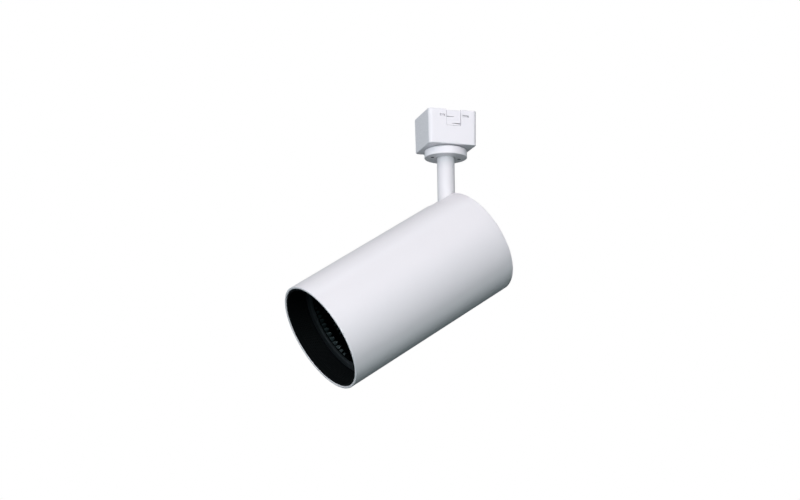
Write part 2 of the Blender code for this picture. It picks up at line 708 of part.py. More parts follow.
def rear_cap():
    outer = REAR_X - CAP_INSET
    inner = outer - CAP_THICKNESS
    edge = 0.0004
    profile = [
        (0.0, outer), (FIT_RADIUS - edge, outer), (FIT_RADIUS, outer - edge),
        (FIT_RADIUS, inner), (0.0, inner),
    ]
    cap = head_turned("rear_cap", profile, WHITE_PAINT)
    outline = [(0.03, SLOT_HALF_WIDTH)]
    outline += arc((0, 0), SLOT_HALF_WIDTH, 90, 270, 10)
    outline.append((0.03, -SLOT_HALF_WIDTH))
    mesh = plate_mesh("cap_slot", outline, 0.01)
    boolean(cap, place("cap_slot", mesh, HEAD, None, (outer, 0, 0), (0, math.radians(-90), 0)))
    for number, (y, z) in enumerate(post_places(), 1):
        cut_rod(cap, HEAD, M2_HOLE, inner - 0.001, outer, (0, y, z), ALONG_X)
        cut_rod(cap, HEAD, 0.0028, outer - 0.0014, outer + 0.001, (0, y, z), ALONG_X)
        add_screw(
            f"rear_cap_screw_{number}", HEAD, WHITE_PAINT, 0.0025, 0.0012, 0.001, 0.006,
            (outer - 0.0014 + GAP / 2, y, z), ALONG_X,
        )
    for number, (y, z) in enumerate(post_places(), 1):
        name = f"rear_post_{number}"
        start = BRACKET_BASE_X
        end = inner - GAP
        post = place(name, rod_mesh(name, POST_RADIUS, start, end), HEAD, ZINC, (0, y, z), ALONG_X)
        cut_rod(post, HEAD, M2_HOLE, end - 0.006, end + 0.001, (0, y, z), ALONG_X, SCREW_ROUND)


# ---------------------------------------------------------------- hinge
def hinge_bracket():
    """A U of sheet steel: a base on the bulkhead and two cheeks around the knuckle."""
    outer = CHEEK_INNER + CHEEK_THICKNESS
    outline = [(BRACKET_BASE_X, BRACKET_HALF_HEIGHT), (BRACKET_BASE_X, -BRACKET_HALF_HEIGHT)]
    outline += [(-0.004, -BRACKET_HALF_HEIGHT)]
    outline += arc((0, 0), CHEEK_RADIUS, -90, 90, 12)
    outline += [(-0.004, BRACKET_HALF_HEIGHT)]
    mesh = plate_mesh("hinge_bracket", outline, 2 * outer)
    bracket = place("hinge_bracket", mesh, HEAD, ZINC, (0, 0, 0), (math.radians(90), 0, 0))
    mouth = [(
        (BRACKET_BASE_X + BRACKET_BASE, -CHEEK_INNER, -0.02), (0.02, CHEEK_INNER, 0.02),
    )]
    cut_boxes(bracket, HEAD, mouth)
    cut_rod(bracket, HEAD, BOLT_RADIUS + HOLE_GAP, -0.02, 0.02, (0, 0, 0), ALONG_Y)
    for side, label in ((1, "top"), (-1, "bottom")):
        z = side * BRACKET_SCREW_OFFSET
        cut_rod(bracket, HEAD, M2_HOLE, -0.02, -0.009, (0, 0, z), ALONG_X, SCREW_ROUND)
        add_screw(
            f"bracket_screw_{label}", HEAD, ZINC, 0.0022, 0.0014, 0.001, 0.004,
            (BRACKET_BASE_X + BRACKET_BASE + GAP, 0, z), ALONG_X,
        )


def pivot_stack():
    """Bolt, washers and nut on the tilt axis. The bolt's head is on the -Y side."""
    cheek = CHEEK_INNER + CHEEK_THICKNESS
    under_head = -cheek - GAP
    length = 0.0235
    profile = screw_profile(0.0042, 0.0028, BOLT_RADIUS, length, 0.0022)
    turned("pivot_bolt", profile, HEAD, ZINC, (0, under_head, 0), (math.radians(90), 0, 0), 16)
    bore = BOLT_RADIUS + HOLE_GAP
    low = KNUCKLE_HALF_WIDTH + GAP
    for side, label in ((-1, "left"), (1, "right")):
        profile = ring_profile(bore, 0.0062, low, CHEEK_INNER - GAP)
        rotation = (math.radians(-90 * side), 0, 0)
        turned(f"friction_washer_{label}", profile, HEAD, BLACK_PLASTIC, (0, 0, 0), rotation, 16)
    low = cheek + GAP
    dish = [
        (bore, low + 0.0011), (bore, low + 0.0006), (0.005, low), (0.005, low + 0.0005),
    ]
    turned("spring_washer", dish[::-1], HEAD, ZINC, (0, 0, 0), ALONG_Y, 16)
    low += 0.0011 + GAP
    mesh = rod_mesh("pivot_nut", 0.0046, low, low + 0.0042, 6)
    nut = place("pivot_nut", mesh, HEAD, ZINC, (0, 0, 0), ALONG_Y)
    cut_rod(nut, HEAD, bore, 0.0, 0.02, (0, 0, 0), ALONG_Y, 16)


def bulkhead():
    profile = [
        (0.0, BULKHEAD_X + BULKHEAD_THICKNESS), (FIT_RADIUS, BULKHEAD_X + BULKHEAD_THICKNESS),
        (FIT_RADIUS, BULKHEAD_X), (0.0, BULKHEAD_X),
    ]
    plate = head_turned("bulkhead", profile, ZINC)
    middle = BULKHEAD_X + BULKHEAD_THICKNESS / 2
    cut_rod(plate, HEAD, 0.004, middle - 0.005, middle + 0.005, (0, 0.016, 0.002), ALONG_X)
    for side in (-1, 1):
        location = (middle, 0, side * BRACKET_SCREW_OFFSET)
        cut_rod(plate, HEAD, M2_HOLE, -0.005, 0.005, location, ALONG_X, SCREW_ROUND)


# ---------------------------------------------------------------- driver
def centred_box(name, low_x, high_x, half_y, half_z, bevel=0.0):
    """A box across the tube's axis, from one place along the head to another."""
    return box_mesh(name, [((low_x, -half_y, AXIS_Z - half_z), (high_x, half_y, AXIS_Z + half_z))], bevel)


def driver():
    """The driver: a tray open to the rear, its cover, and the board with its transformer."""
    half_y = DRIVER_Y / 2
    half_z = DRIVER_Z / 2
    wall = DRIVER_WALL
    mesh = centred_box("driver_case", DRIVER_FRONT_X, DRIVER_REAR_X, half_y, half_z, 0.001)
    case = place("driver_case", mesh, HEAD, BLACK_PLASTIC)
    cut_boxes(case, HEAD, [(
        (DRIVER_FRONT_X + wall, wall - half_y, AXIS_Z + wall - half_z),
        (DRIVER_REAR_X + 0.01, half_y - wall, AXIS_Z + half_z - wall),
    )])
    low = DRIVER_REAR_X + GAP
    cover = centred_box("driver_cover", low, low + 0.0015, half_y, half_z, 0.0004)
    place("driver_cover", cover, HEAD, BLACK_PLASTIC)
    front = DRIVER_FRONT_X + wall + 0.001
    margin = wall + 0.0005
    board = centred_box("driver_board", front, front + BOARD_THICKNESS, half_y - margin, half_z - margin)
    place("driver_board", board, HEAD, BOARD_GREEN)
    base = front + BOARD_THICKNESS + GAP
    core = centred_box("driver_transformer", base, base + 0.0125, 0.009, 0.008, 0.001)
    place("driver_transformer", core, HEAD, TAPE_YELLOW)


# ---------------------------------------------------------------- lamp
def heat_sink():
    rear = HEAT_SINK_FRONT + HEAT_SINK_BASE
    profile = [(0.0, rear), (FIT_RADIUS, rear), (FIT_RADIUS, HEAT_SINK_FRONT), (0.0, HEAT_SINK_FRONT)]
    sink = head_turned("heat_sink", profile, ALUMINIUM)
    fins = []
    for number in range(FIN_COUNT):
        y = (number - (FIN_COUNT - 1) / 2) * FIN_PITCH
        reach = math.sqrt(FIN_CIRCLE ** 2 - y ** 2)
        half = FIN_THICKNESS / 2
        fins.append(((rear - 0.001, y - half, AXIS_Z - reach), (rear + FIN_LENGTH, y + half, AXIS_Z + reach)))
    cut_boxes(sink, HEAD, fins, "UNION")
    for angle in (30, 150):
        location = (HEAT_SINK_FRONT + HEAT_SINK_BASE / 2, 0, AXIS_Z)
        cut_rod(sink, HEAD, 0.0015 + HOLE_GAP, 0.0335, 0.045, location, radial_rotation(angle), SCREW_ROUND)
    for side in (-1, 1):
        location = (HEAT_SINK_FRONT, side * HOLDER_SCREW_OFFSET, AXIS_Z)
        cut_rod(sink, HEAD, M2_HOLE, -0.001, 0.005, location, ALONG_X, SCREW_ROUND)
    for number, (y, z) in enumerate(post_places(), 1):
        name = f"sink_post_{number}"
        post = rod_mesh(name, POST_RADIUS, rear + GAP, BULKHEAD_X - GAP)
        place(name, post, HEAD, ZINC, (0, y, z), ALONG_X)


def light_source():
    """The ceramic board with its emitter, and the holder that clamps it to the heat sink."""
    board_rear = HEAT_SINK_FRONT - GAP
    board_front = board_rear - LED_BOARD_THICKNESS
    half = LED_BOARD_HALF
    board = centred_box("led_board", board_front, board_rear, half, half)
    place("led_board", board, HEAD, CERAMIC)
    low = board_front - 0.0008
    high = board_front - GAP
    profile = [(0.0, high), (EMITTER_RADIUS, high), (EMITTER_RADIUS, low), (0.0, low)]
    head_turned("led_emitter", profile, PHOSPHOR, MEDIUM_ROUND)
    front = HEAT_SINK_FRONT - HOLDER_THICKNESS
    rear = HEAT_SINK_FRONT - GAP
    profile = [
        (HOLDER_RADIUS, rear), (HOLDER_RADIUS, front + 0.0006), (HOLDER_RADIUS - 0.0007, front),
        (HOLDER_BORE, front), (HOLDER_BORE, rear),
    ]
    holder = head_turned("led_holder", profile, BLACK_PLASTIC, MEDIUM_ROUND)
    pocket = half + GAP
    cut_boxes(holder, HEAD, [(
        (board_front - GAP, -pocket, AXIS_Z - pocket), (HEAT_SINK_FRONT, pocket, AXIS_Z + pocket),
    )])
    for side, label in ((-1, "left"), (1, "right")):
        y = side * HOLDER_SCREW_OFFSET
        location = (HEAT_SINK_FRONT, y, AXIS_Z)
        cut_rod(holder, HEAD, M2_HOLE, -0.006, 0.001, location, ALONG_X, SCREW_ROUND)
        add_screw(
            f"holder_screw_{label}", HEAD, ZINC, 0.0021, 0.0014, M2_SHANK, 0.006,
            (front - GAP, y, AXIS_Z), (0, math.radians(-90), 0),
        )


def reflector_radius(depth):
    """Radius of the parabolic bowl at a depth behind its own mouth."""
    mouth = REFLECTOR_MOUTH_RADIUS ** 2
    throat = REFLECTOR_THROAT_RADIUS ** 2
    return math.sqrt(mouth + (throat - mouth) * depth / REFLECTOR_DEPTH)


def reflector():
    start = MOUTH_X + REFLECTOR_START
    steps = 4
    depths = [REFLECTOR_DEPTH * i / steps for i in range(steps + 1)]
    outside = [(reflector_radius(d) + REFLECTOR_WALL, start + d) for d in reversed(depths[1:])]
    inside = [(reflector_radius(d), start + d) for d in depths]
    flange_back = start + 0.001
    flange = [
        (reflector_radius(0.001) + REFLECTOR_WALL, flange_back), (REFLECTOR_FLANGE_RADIUS, flange_back),
        (REFLECTOR_FLANGE_RADIUS, start),
    ]
    head_turned("reflector", outside + flange + inside, DARK_MIRROR, 32)


def front_trim():
    """The black sleeve behind the mouth and the ring that holds the reflector's flange."""
    start = MOUTH_X + SLEEVE_START
    end = MOUTH_X + SLEEVE_END
    bore = FIT_RADIUS - SLEEVE_WALL
    profile = [
        (FIT_RADIUS, end), (FIT_RADIUS, start + 0.0002), (FIT_RADIUS - 0.0003, start),
        (bore, start), (bore, end),
    ]
    head_turned("glare_sleeve", profile, BLACK_PLASTIC)
    low = end + GAP
    high = MOUTH_X + RING_END
    profile = [
        (FIT_RADIUS, high), (FIT_RADIUS, low), (RING_BORE + 0.0003, low),
        (RING_BORE, low + 0.0003), (RING_BORE, high),
    ]
    head_turned("reflector_ring", profile, RING_BLACK)


adapter_housing()
contact_carrier()
contacts()
terminal_block()
swivel_disc()
stop_pin()
latch_slider()
knuckle_pins(stem())
stem_lead()
swivel_stack()
body_tube()
set_screws()
rear_cap()
hinge_bracket()
pivot_stack()
bulkhead()
driver()
heat_sink()
light_source()
reflector()
front_trim()
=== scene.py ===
"""Looks of the track spotlight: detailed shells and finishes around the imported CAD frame."""

import json
import math

import bmesh
import bpy
from mathutils import Matrix, Vector


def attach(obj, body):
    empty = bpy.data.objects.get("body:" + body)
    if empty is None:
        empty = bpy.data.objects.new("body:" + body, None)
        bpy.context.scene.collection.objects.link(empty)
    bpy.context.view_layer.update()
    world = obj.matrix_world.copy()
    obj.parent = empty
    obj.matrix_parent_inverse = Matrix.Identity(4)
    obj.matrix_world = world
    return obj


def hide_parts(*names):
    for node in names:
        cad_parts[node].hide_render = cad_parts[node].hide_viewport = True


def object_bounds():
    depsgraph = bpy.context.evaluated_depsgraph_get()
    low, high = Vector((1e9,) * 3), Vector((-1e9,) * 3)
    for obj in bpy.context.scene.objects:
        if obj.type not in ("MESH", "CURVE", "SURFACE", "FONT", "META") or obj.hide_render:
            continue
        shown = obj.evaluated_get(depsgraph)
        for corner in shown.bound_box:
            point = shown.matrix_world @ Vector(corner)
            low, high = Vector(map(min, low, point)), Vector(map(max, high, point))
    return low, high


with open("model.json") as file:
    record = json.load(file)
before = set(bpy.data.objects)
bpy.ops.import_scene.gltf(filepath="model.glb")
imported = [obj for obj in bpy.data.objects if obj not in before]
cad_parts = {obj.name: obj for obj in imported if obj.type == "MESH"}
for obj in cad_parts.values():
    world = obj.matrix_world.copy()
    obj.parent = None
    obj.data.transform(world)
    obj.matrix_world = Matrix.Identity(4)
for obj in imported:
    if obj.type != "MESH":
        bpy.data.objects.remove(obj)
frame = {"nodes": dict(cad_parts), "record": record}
CAD_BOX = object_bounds()

# ---------------------------------------------------------------- frames of the three moving bodies
JOINTS = {joint["name"]: joint for joint in frame["record"]["behaviour"]["joints"]}
PIVOT = Vector(JOINTS["tilt"]["pos_m"])
TILT_AXIS = JOINTS["tilt"]["axis"]
PAN = math.atan2(TILT_AXIS[0], -TILT_AXIS[1])
TILT = math.radians(-JOINTS["tilt"]["range_deg"][0])
ADAPTER = Matrix.Identity(4)
STEM = Matrix.Rotation(PAN, 4, "Z")
HEAD = Matrix.Translation(PIVOT) @ STEM @ Matrix.Rotation(-TILT, 4, "Y")

# ---------------------------------------------------------------- sizes, in metres
MM = 0.001
GAP = 0.3 * MM
ADAPTER_HEIGHT = 26.0 * MM
ADAPTER_X = 36.9 * MM
ADAPTER_Y = 35.4 * MM
ADAPTER_WALL = 2.0 * MM
SNAP_WINDOWS = ((-10.0 * MM, -6.4 * MM), (7.3 * MM, 11.9 * MM))
SNAP_TOP = -4.1 * MM
SNAP_BOTTOM = -5.6 * MM
LATCH_X = 0.5 * MM
LATCH_WIDTH = 11.0 * MM
LATCH_DEPTH = 12.2 * MM
DISC_BOTTOM = -32.5 * MM
DISC_RADIUS = 15.65 * MM
DISC_SCREWS = 10.3 * MM
DISC_RECESS = 2.0 * MM
STEM_RADIUS = 6.4 * MM
AXIS_Z = -23.0 * MM
REAR_X = 12.9 * MM
MOUTH_X = -131.2 * MM
TUBE_RADIUS = 40.0 * MM
TUBE_WALL = 1.6 * MM
SLOT_HALF = 7.2 * MM
FIT_RADIUS = TUBE_RADIUS - TUBE_WALL - GAP
BOWL_START = MOUTH_X + 18.8 * MM
BOWL_DEPTH = 41.0 * MM
BOWL_MOUTH = 31.2 * MM
BOWL_THROAT = 9.0 * MM
SINK_FRONT = MOUTH_X + 63.7 * MM
SET_SCREW_X = SINK_FRONT + 3 * MM
SET_SCREWS = ((30, "upper"), (150, "lower"))


# ---------------------------------------------------------------- material nodes
def add_node(tree, kind, inputs=None, **settings):
    made = tree.nodes.new(kind)
    for key, value in settings.items():
        setattr(made, key, value)
    for key, value in (inputs or {}).items():
        socket = made.inputs[key]
        if isinstance(value, bpy.types.NodeSocket):
            tree.links.new(value, socket)
        else:
            socket.default_value = value
    return made


def remap(tree, value, low, high, to_low=0.0, to_high=1.0):
    """Takes a value from one range to another."""
    return add_node(tree, "ShaderNodeMapRange", {
        "Value": value, "From Min": low, "From Max": high, "To Min": to_low, "To Max": to_high,
    }).outputs["Result"]


def blend(tree, factor, first, second):
    """Mixes two RGBA colours, either of which may be a node's output."""
    made = add_node(tree, "ShaderNodeMix", {"Factor": factor, 6: first, 7: second}, data_type="RGBA")
    return made.outputs[2]


def surface(name, light, dark, roughness, grain, bump, metallic=0.0, spread=0.06, patch=18 * MM,
            stretch=(1, 1, 1), edge=None, edge_amount=0.5, coat=0.0, specular=0.5, specks=0.0):
    """A finish with patchy tone, grain at real size in bump and roughness, and a set colour on sharp convex
    edges.
    """
    material = bpy.data.materials.new(name)
    material.use_nodes = True
    tree = material.node_tree
    shader = tree.nodes["Principled BSDF"]
    where = add_node(tree, "ShaderNodeTexCoord")
    scaled = add_node(tree, "ShaderNodeMapping", {"Vector": where.outputs["Object"], "Scale": stretch})
    place = scaled.outputs["Vector"]
    patches = add_node(tree, "ShaderNodeTexNoise", {"Vector": place, "Scale": 1 / patch, "Detail": 3.0})
    fine = add_node(tree, "ShaderNodeTexNoise", {
        "Vector": place, "Scale": 1 / grain, "Detail": 4.0, "Roughness": 0.6,
    })
    colour = blend(tree, patches.outputs["Fac"], (*dark, 1.0), (*light, 1.0))
    if specks > 0:
        dots = add_node(tree, "ShaderNodeTexVoronoi", {"Vector": place, "Scale": 1 / (grain * 3)})
        spot = remap(tree, dots.outputs["Distance"], 0.05, 0.16, specks, 0.0)
        colour = blend(tree, spot, colour, (*(c * 0.6 for c in light), 1.0))
    if edge:
        geometry = add_node(tree, "ShaderNodeNewGeometry")
        sharp = remap(tree, geometry.outputs["Pointiness"], 0.53, 0.62, 0.0, edge_amount)
        broken = add_node(tree, "ShaderNodeMath", {0: sharp, 1: fine.outputs["Fac"]}, operation="MULTIPLY")
        colour = blend(tree, broken.outputs["Value"], colour, (*edge, 1.0))
    tree.links.new(colour, shader.inputs["Base Color"])
    rough = remap(tree, fine.outputs["Fac"], 0.3, 0.7, roughness - spread, roughness + spread)
    tree.links.new(rough, shader.inputs["Roughness"])
    relief = add_node(tree, "ShaderNodeBump", {
        "Height": fine.outputs["Fac"], "Strength": 1.0, "Distance": bump,
    })
    tree.links.new(relief.outputs["Normal"], shader.inputs["Normal"])
    shader.inputs["Metallic"].default_value = metallic
    shader.inputs["Specular IOR Level"].default_value = specular
    shader.inputs["Coat Weight"].default_value = coat
    shader.inputs["Coat Roughness"].default_value = 0.12
    return material


FINISH = {
    # Sharp convex edges come out a darker grey than the flat paint.
    "white_paint": surface(
        "powder_coat", (0.83, 0.81, 0.835), (0.81, 0.79, 0.815), 0.40, 0.9 * MM, 0.012 * MM,
        edge=(0.70, 0.70, 0.72), edge_amount=0.35, specks=0.03,
    ),
    "white_plastic": surface(
        "satin_white_plastic", (0.905, 0.885, 0.92), (0.89, 0.87, 0.905), 0.24, 0.5 * MM, 0.004 * MM,
        edge=(0.86, 0.86, 0.88), edge_amount=0.3,
    ),
    # Black plastic made darker than real black plastic: part its own black, part painted shade for the unlit
    # inside of the glare sleeve.
    "black_plastic": surface(
        "black_textured_plastic_with_painted_shade", (0.0045, 0.0055, 0.006), (0.003, 0.004, 0.0045), 0.62, 0.35 * MM, 0.02 * MM,
        edge=(0.04, 0.04, 0.045), edge_amount=0.5, specular=0.15,
    ),
    "ring_black": surface(
        "anodised_ring", (0.030, 0.036, 0.040), (0.022, 0.027, 0.030), 0.34, 0.3 * MM, 0.006 * MM,
        edge=(0.10, 0.10, 0.11), edge_amount=0.5,
    ),
    # Mirror metal with a near-black base colour, which darkens every reflection in the bowl.
    "dark_mirror": surface(
        "near_black_base_mirror", (0.085, 0.10, 0.105), (0.07, 0.085, 0.09), 0.08, 1.2 * MM, 0.002 * MM,
        metallic=1.0, spread=0.03,
    ),
    "copper": surface(
        "copper_blade", (0.78, 0.42, 0.24), (0.60, 0.30, 0.17), 0.28, 0.4 * MM, 0.004 * MM,
        metallic=1.0, edge=(0.92, 0.60, 0.40), edge_amount=0.7, stretch=(1, 1, 0.15),
    ),
    "zinc_steel": surface(
        "zinc_plated_steel", (0.62, 0.63, 0.65), (0.46, 0.47, 0.50), 0.34, 0.8 * MM, 0.006 * MM,
        metallic=1.0, patch=3 * MM, edge=(0.75, 0.75, 0.76), edge_amount=0.6,
    ),
    # Steel painted near-black: painted shade standing in for the shade in the disc screws' recesses.
    "black_steel": surface(
        "near_black_steel_painted_recess_shade", (0.030, 0.031, 0.034), (0.018, 0.018, 0.020), 0.42, 0.4 * MM, 0.006 * MM,
        metallic=0.2, edge=(0.16, 0.16, 0.17), edge_amount=0.5,
    ),
    "aluminium": surface(
        "extruded_aluminium", (0.66, 0.67, 0.69), (0.56, 0.57, 0.60), 0.38, 0.5 * MM, 0.008 * MM,
        metallic=1.0, stretch=(0.12, 1, 1), edge=(0.80, 0.80, 0.81), edge_amount=0.5,
    ),
    "board_green": surface(
        "circuit_board", (0.03, 0.15, 0.07), (0.02, 0.11, 0.05), 0.42, 0.6 * MM, 0.01 * MM,
        coat=0.4, edge=(0.35, 0.33, 0.18), edge_amount=0.8,
    ),
    "transformer_tape": surface(
        "yellow_winding_tape", (0.78, 0.62, 0.10), (0.62, 0.48, 0.07), 0.45, 0.7 * MM, 0.02 * MM,
        stretch=(1, 0.2, 1),
    ),
    "ceramic_white": surface(
        "ceramic_board", (0.82, 0.82, 0.78), (0.75, 0.75, 0.71), 0.48, 0.4 * MM, 0.006 * MM,
    ),
    "phosphor": surface(
        "phosphor", (0.90, 0.66, 0.10), (0.80, 0.54, 0.07), 0.55, 0.25 * MM, 0.03 * MM,
    ),
    "lead_sheath": surface(
        "lead_sheath", (0.46, 0.46, 0.47), (0.38, 0.38, 0.39), 0.50, 0.5 * MM, 0.015 * MM,
        edge=(0.6, 0.6, 0.6), edge_amount=0.3,
    ),
}


# ---------------------------------------------------------------- mesh tools
def fillet(corners, closed=True, steps=4):
    """Rounds each (x, y, radius) corner of an outline with a short arc."""
    points = []
    count = len(corners)
    for i, (x, y, radius) in enumerate(corners):
        here = Vector((x, y))
        if radius <= 0 or (not closed and i in (0, count - 1)):
            points.append((x, y))
            continue
        before = Vector(corners[i - 1][:2]) - here
        after = Vector(corners[(i + 1) % count][:2]) - here
        reach = min(before.length, after.length) * 0.49
        before.normalize()
        after.normalize()
        half = before.angle(after) / 2
        cut = min(radius / math.tan(half), reach)
        centre = here + (before + after).normalized() * (cut / math.cos(half))
        first = here + before * cut - centre
        last = here + after * cut - centre
        start = math.atan2(first.y, first.x)
        turn = (math.atan2(last.y, last.x) - start + math.pi) % math.tau - math.pi
        for k in range(steps + 1):
            angle = start + turn * k / steps
            x = centre.x + first.length * math.cos(angle)
            y = centre.y + first.length * math.sin(angle)
            points.append((x, y))
    return points


def strip(bm, first, second, closed=True):
    """Faces between two rows of vertices. A row of one vertex makes a fan."""
    count = max(len(first), len(second))
    for i in range(count if closed else count - 1):
        j = (i + 1) % count
        near = [first[i % len(first)], first[j % len(first)]]
        far = [second[j % len(second)], second[i % len(second)]]
        corners = list(dict.fromkeys(near + far))
        if len(corners) > 2:
            bm.faces.new(corners)


def lathe(profile, segments=128):
    """A closed profile of (radius, height) points turned about Z."""
    bm = bmesh.new()
    rows = []
    for radius, height in profile:
        if radius < GAP / 100:
            rows.append([bm.verts.new((0, 0, height))])
            continue
        rows.append([
            bm.verts.new((radius * math.cos(a), radius * math.sin(a), height))
            for a in (math.tau * (i + 0.5) / segments for i in range(segments))
        ])
    for first, second in zip(rows, rows[1:] + rows[:1]):
        if len(first) > 1 or len(second) > 1:
            strip(bm, first, second)
    return bm


def box(low, high, bevel=0.0, steps=2):
    bm = bmesh.new()
    low, high = Vector(low), Vector(high)
    made = bmesh.ops.create_cube(bm, size=1.0)
    scale = Matrix.Diagonal((*(high - low), 1.0))
    bmesh.ops.transform(bm, matrix=Matrix.Translation((low + high) / 2) @ scale, verts=made["verts"])
    if bevel > 0:
        bmesh.ops.bevel(bm, geom=bm.edges[:], offset=bevel, segments=steps, profile=0.5, affect="EDGES")
    return bm


def block(size_x, size_y, low, high, corner, draft=0.0, foot=0.0, top=0.0, steps=8):
    """A block with rounded upright corners, narrowed by draft towards its low end."""
    bm = box((-size_x / 2, -size_y / 2, low), (size_x / 2, size_y / 2, high))
    for vert in bm.verts:
        if vert.co.z < (low + high) / 2:
            vert.co.x -= math.copysign(draft, vert.co.x)
            vert.co.y -= math.copysign(draft, vert.co.y)
    upright = [e for e in bm.edges if abs(e.verts[0].co.z - e.verts[1].co.z) > (high - low) / 2]
    bmesh.ops.bevel(bm, geom=upright, offset=corner, segments=steps, profile=0.5, affect="EDGES")
    for level, radius in ((low, foot), (high, top)):
        if radius > 0:
            rim = [e for e in bm.edges if all(abs(v.co.z - level) < GAP / 100 for v in e.verts)]
            bmesh.ops.bevel(bm, geom=rim, offset=radius, segments=4, profile=0.5, affect="EDGES")
    return bm


def plate(outline, low, high):
    """A flat plate between two heights on local Z."""
    bm = bmesh.new()
    rows = [[bm.verts.new((x, y, z)) for x, y in outline] for z in (low, high)]
    strip(bm, *rows)
    bm.faces.new(rows[0])
    bm.faces.new(rows[1])
    return bm


def rod(radius, low, high, segments=48):
    return lathe([(0, high), (radius, high), (radius, low), (0, low)], segments)


def moved(bm, matrix):
    bmesh.ops.transform(bm, matrix=matrix, verts=bm.verts)
    return bm


def turned_to(axis):
    """The rotation that takes local Z to this axis of the frame."""
    return {"X": Matrix.Rotation(math.pi / 2, 4, "Y"), "-X": Matrix.Rotation(-math.pi / 2, 4, "Y"),
            "Y": Matrix.Rotation(-math.pi / 2, 4, "X"), "-Y": Matrix.Rotation(math.pi / 2, 4, "X"),
            "-Z": Matrix.Rotation(math.pi, 4, "X")}[axis]


def to_object(bm, name):
    bmesh.ops.recalc_face_normals(bm, faces=bm.faces)
    mesh = bpy.data.meshes.new(name)
    bm.to_mesh(mesh)
    bm.free()
    thing = bpy.data.objects.new(name, mesh)
    bpy.context.scene.collection.objects.link(thing)
    return thing


def settle(thing):
    """Replaces the object's mesh with the result of its modifiers."""
    bpy.context.view_layer.update()
    result = thing.evaluated_get(bpy.context.evaluated_depsgraph_get())
    mesh = bpy.data.meshes.new_from_object(result)
    thing.modifiers.clear()
    thing.data = mesh


def shape(thing, cuts=(), joins=(), bevel=0.0, angle=40.0, steps=2, solver="EXACT"):
    """Cuts and joins other shapes, then rounds the edges that are left sharp."""
    others = []
    for operation, shapes in (("UNION", joins), ("DIFFERENCE", cuts)):
        for bm in shapes:
            other = to_object(bm, thing.name + "_tool")
            others.append(other)
            modifier = thing.modifiers.new(operation.lower(), "BOOLEAN")
            modifier.operation = operation
            modifier.solver = solver
            modifier.object = other
    if others:
        settle(thing)
    for other in others:
        bpy.data.objects.remove(other, do_unlink=True)
    if bevel > 0:
        modifier = thing.modifiers.new("edges", "BEVEL")
        modifier.width = bevel
        modifier.segments = steps
        modifier.limit_method = "ANGLE"
        modifier.angle_limit = math.radians(angle)
        modifier.use_clamp_overlap = True
        settle(thing)
    return thing


def show(thing, frame_matrix, body, finish, *nodes, sharp=30.0, slot=None):
    """Puts a finished piece in its body's frame and lets it stand for its CAD nodes."""
    mesh = thing.data
    mesh.transform(frame_matrix)
    mesh.materials.clear()
    mesh.materials.append(FINISH[finish])
    for polygon in mesh.polygons:
        polygon.material_index = 0
    mesh.shade_smooth()
    if sharp:
        mesh.set_sharp_from_angle(angle=math.radians(sharp))
    modifier = thing.modifiers.new("normals", "WEIGHTED_NORMAL")
    modifier.keep_sharp = True
    settle(thing)
    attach(thing, body)
    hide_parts(*nodes)
    return thing


def finish_lathe(name, profile, matrix, body, finish, node, segments=128, cuts=(), bevel=0.0):
    thing = shape(to_object(lathe(profile, segments), name), cuts=cuts, bevel=bevel)
    return show(thing, matrix, body, finish, node)


# ---------------------------------------------------------------- adapter
def adapter_shell():
    outside = block(
        ADAPTER_X, ADAPTER_Y, -ADAPTER_HEIGHT, 0.0, corner=2.8 * MM, draft=0.38 * MM,
        foot=0.8 * MM, top=0.25 * MM, steps=10,
    )
    housing = to_object(outside, "adapter_shell")
    floor = -ADAPTER_HEIGHT + 2.5 * MM
    outer = ADAPTER_Y / 2 + MM
    inner = ADAPTER_Y / 2 - ADAPTER_WALL - MM
    cuts = [
        block(ADAPTER_X - 2 * ADAPTER_WALL, ADAPTER_Y - 2 * ADAPTER_WALL, floor, MM, 1.2 * MM, steps=4),
        box((LATCH_X - LATCH_WIDTH / 2, -outer, -LATCH_DEPTH), (LATCH_X + LATCH_WIDTH / 2, -inner, MM)),
        rod(STEM_RADIUS + 0.4 * MM, -30 * MM, -20 * MM, 64),
    ]
    for low_x, high_x in SNAP_WINDOWS:
        cuts.append(box((low_x, -outer, SNAP_BOTTOM), (high_x, -inner, SNAP_TOP)))
        cuts.append(box((low_x, inner, SNAP_BOTTOM), (high_x, outer, SNAP_TOP)))
    for side in (-1, 1):
        at = Matrix.Translation((side * DISC_SCREWS, 0, 0))
        cuts.append(moved(rod(1.3 * MM, -30 * MM, -20 * MM, 24), at))
    pin = Matrix.Translation((0, 12.3 * MM, 0))
    cuts.append(moved(rod(1.5 * MM, floor - 1.4 * MM, -20 * MM, 24), pin))
    shape(housing, cuts=cuts, bevel=0.15 * MM, angle=50)
    show(housing, ADAPTER, "adapter", "white_plastic", "adapter_housing")


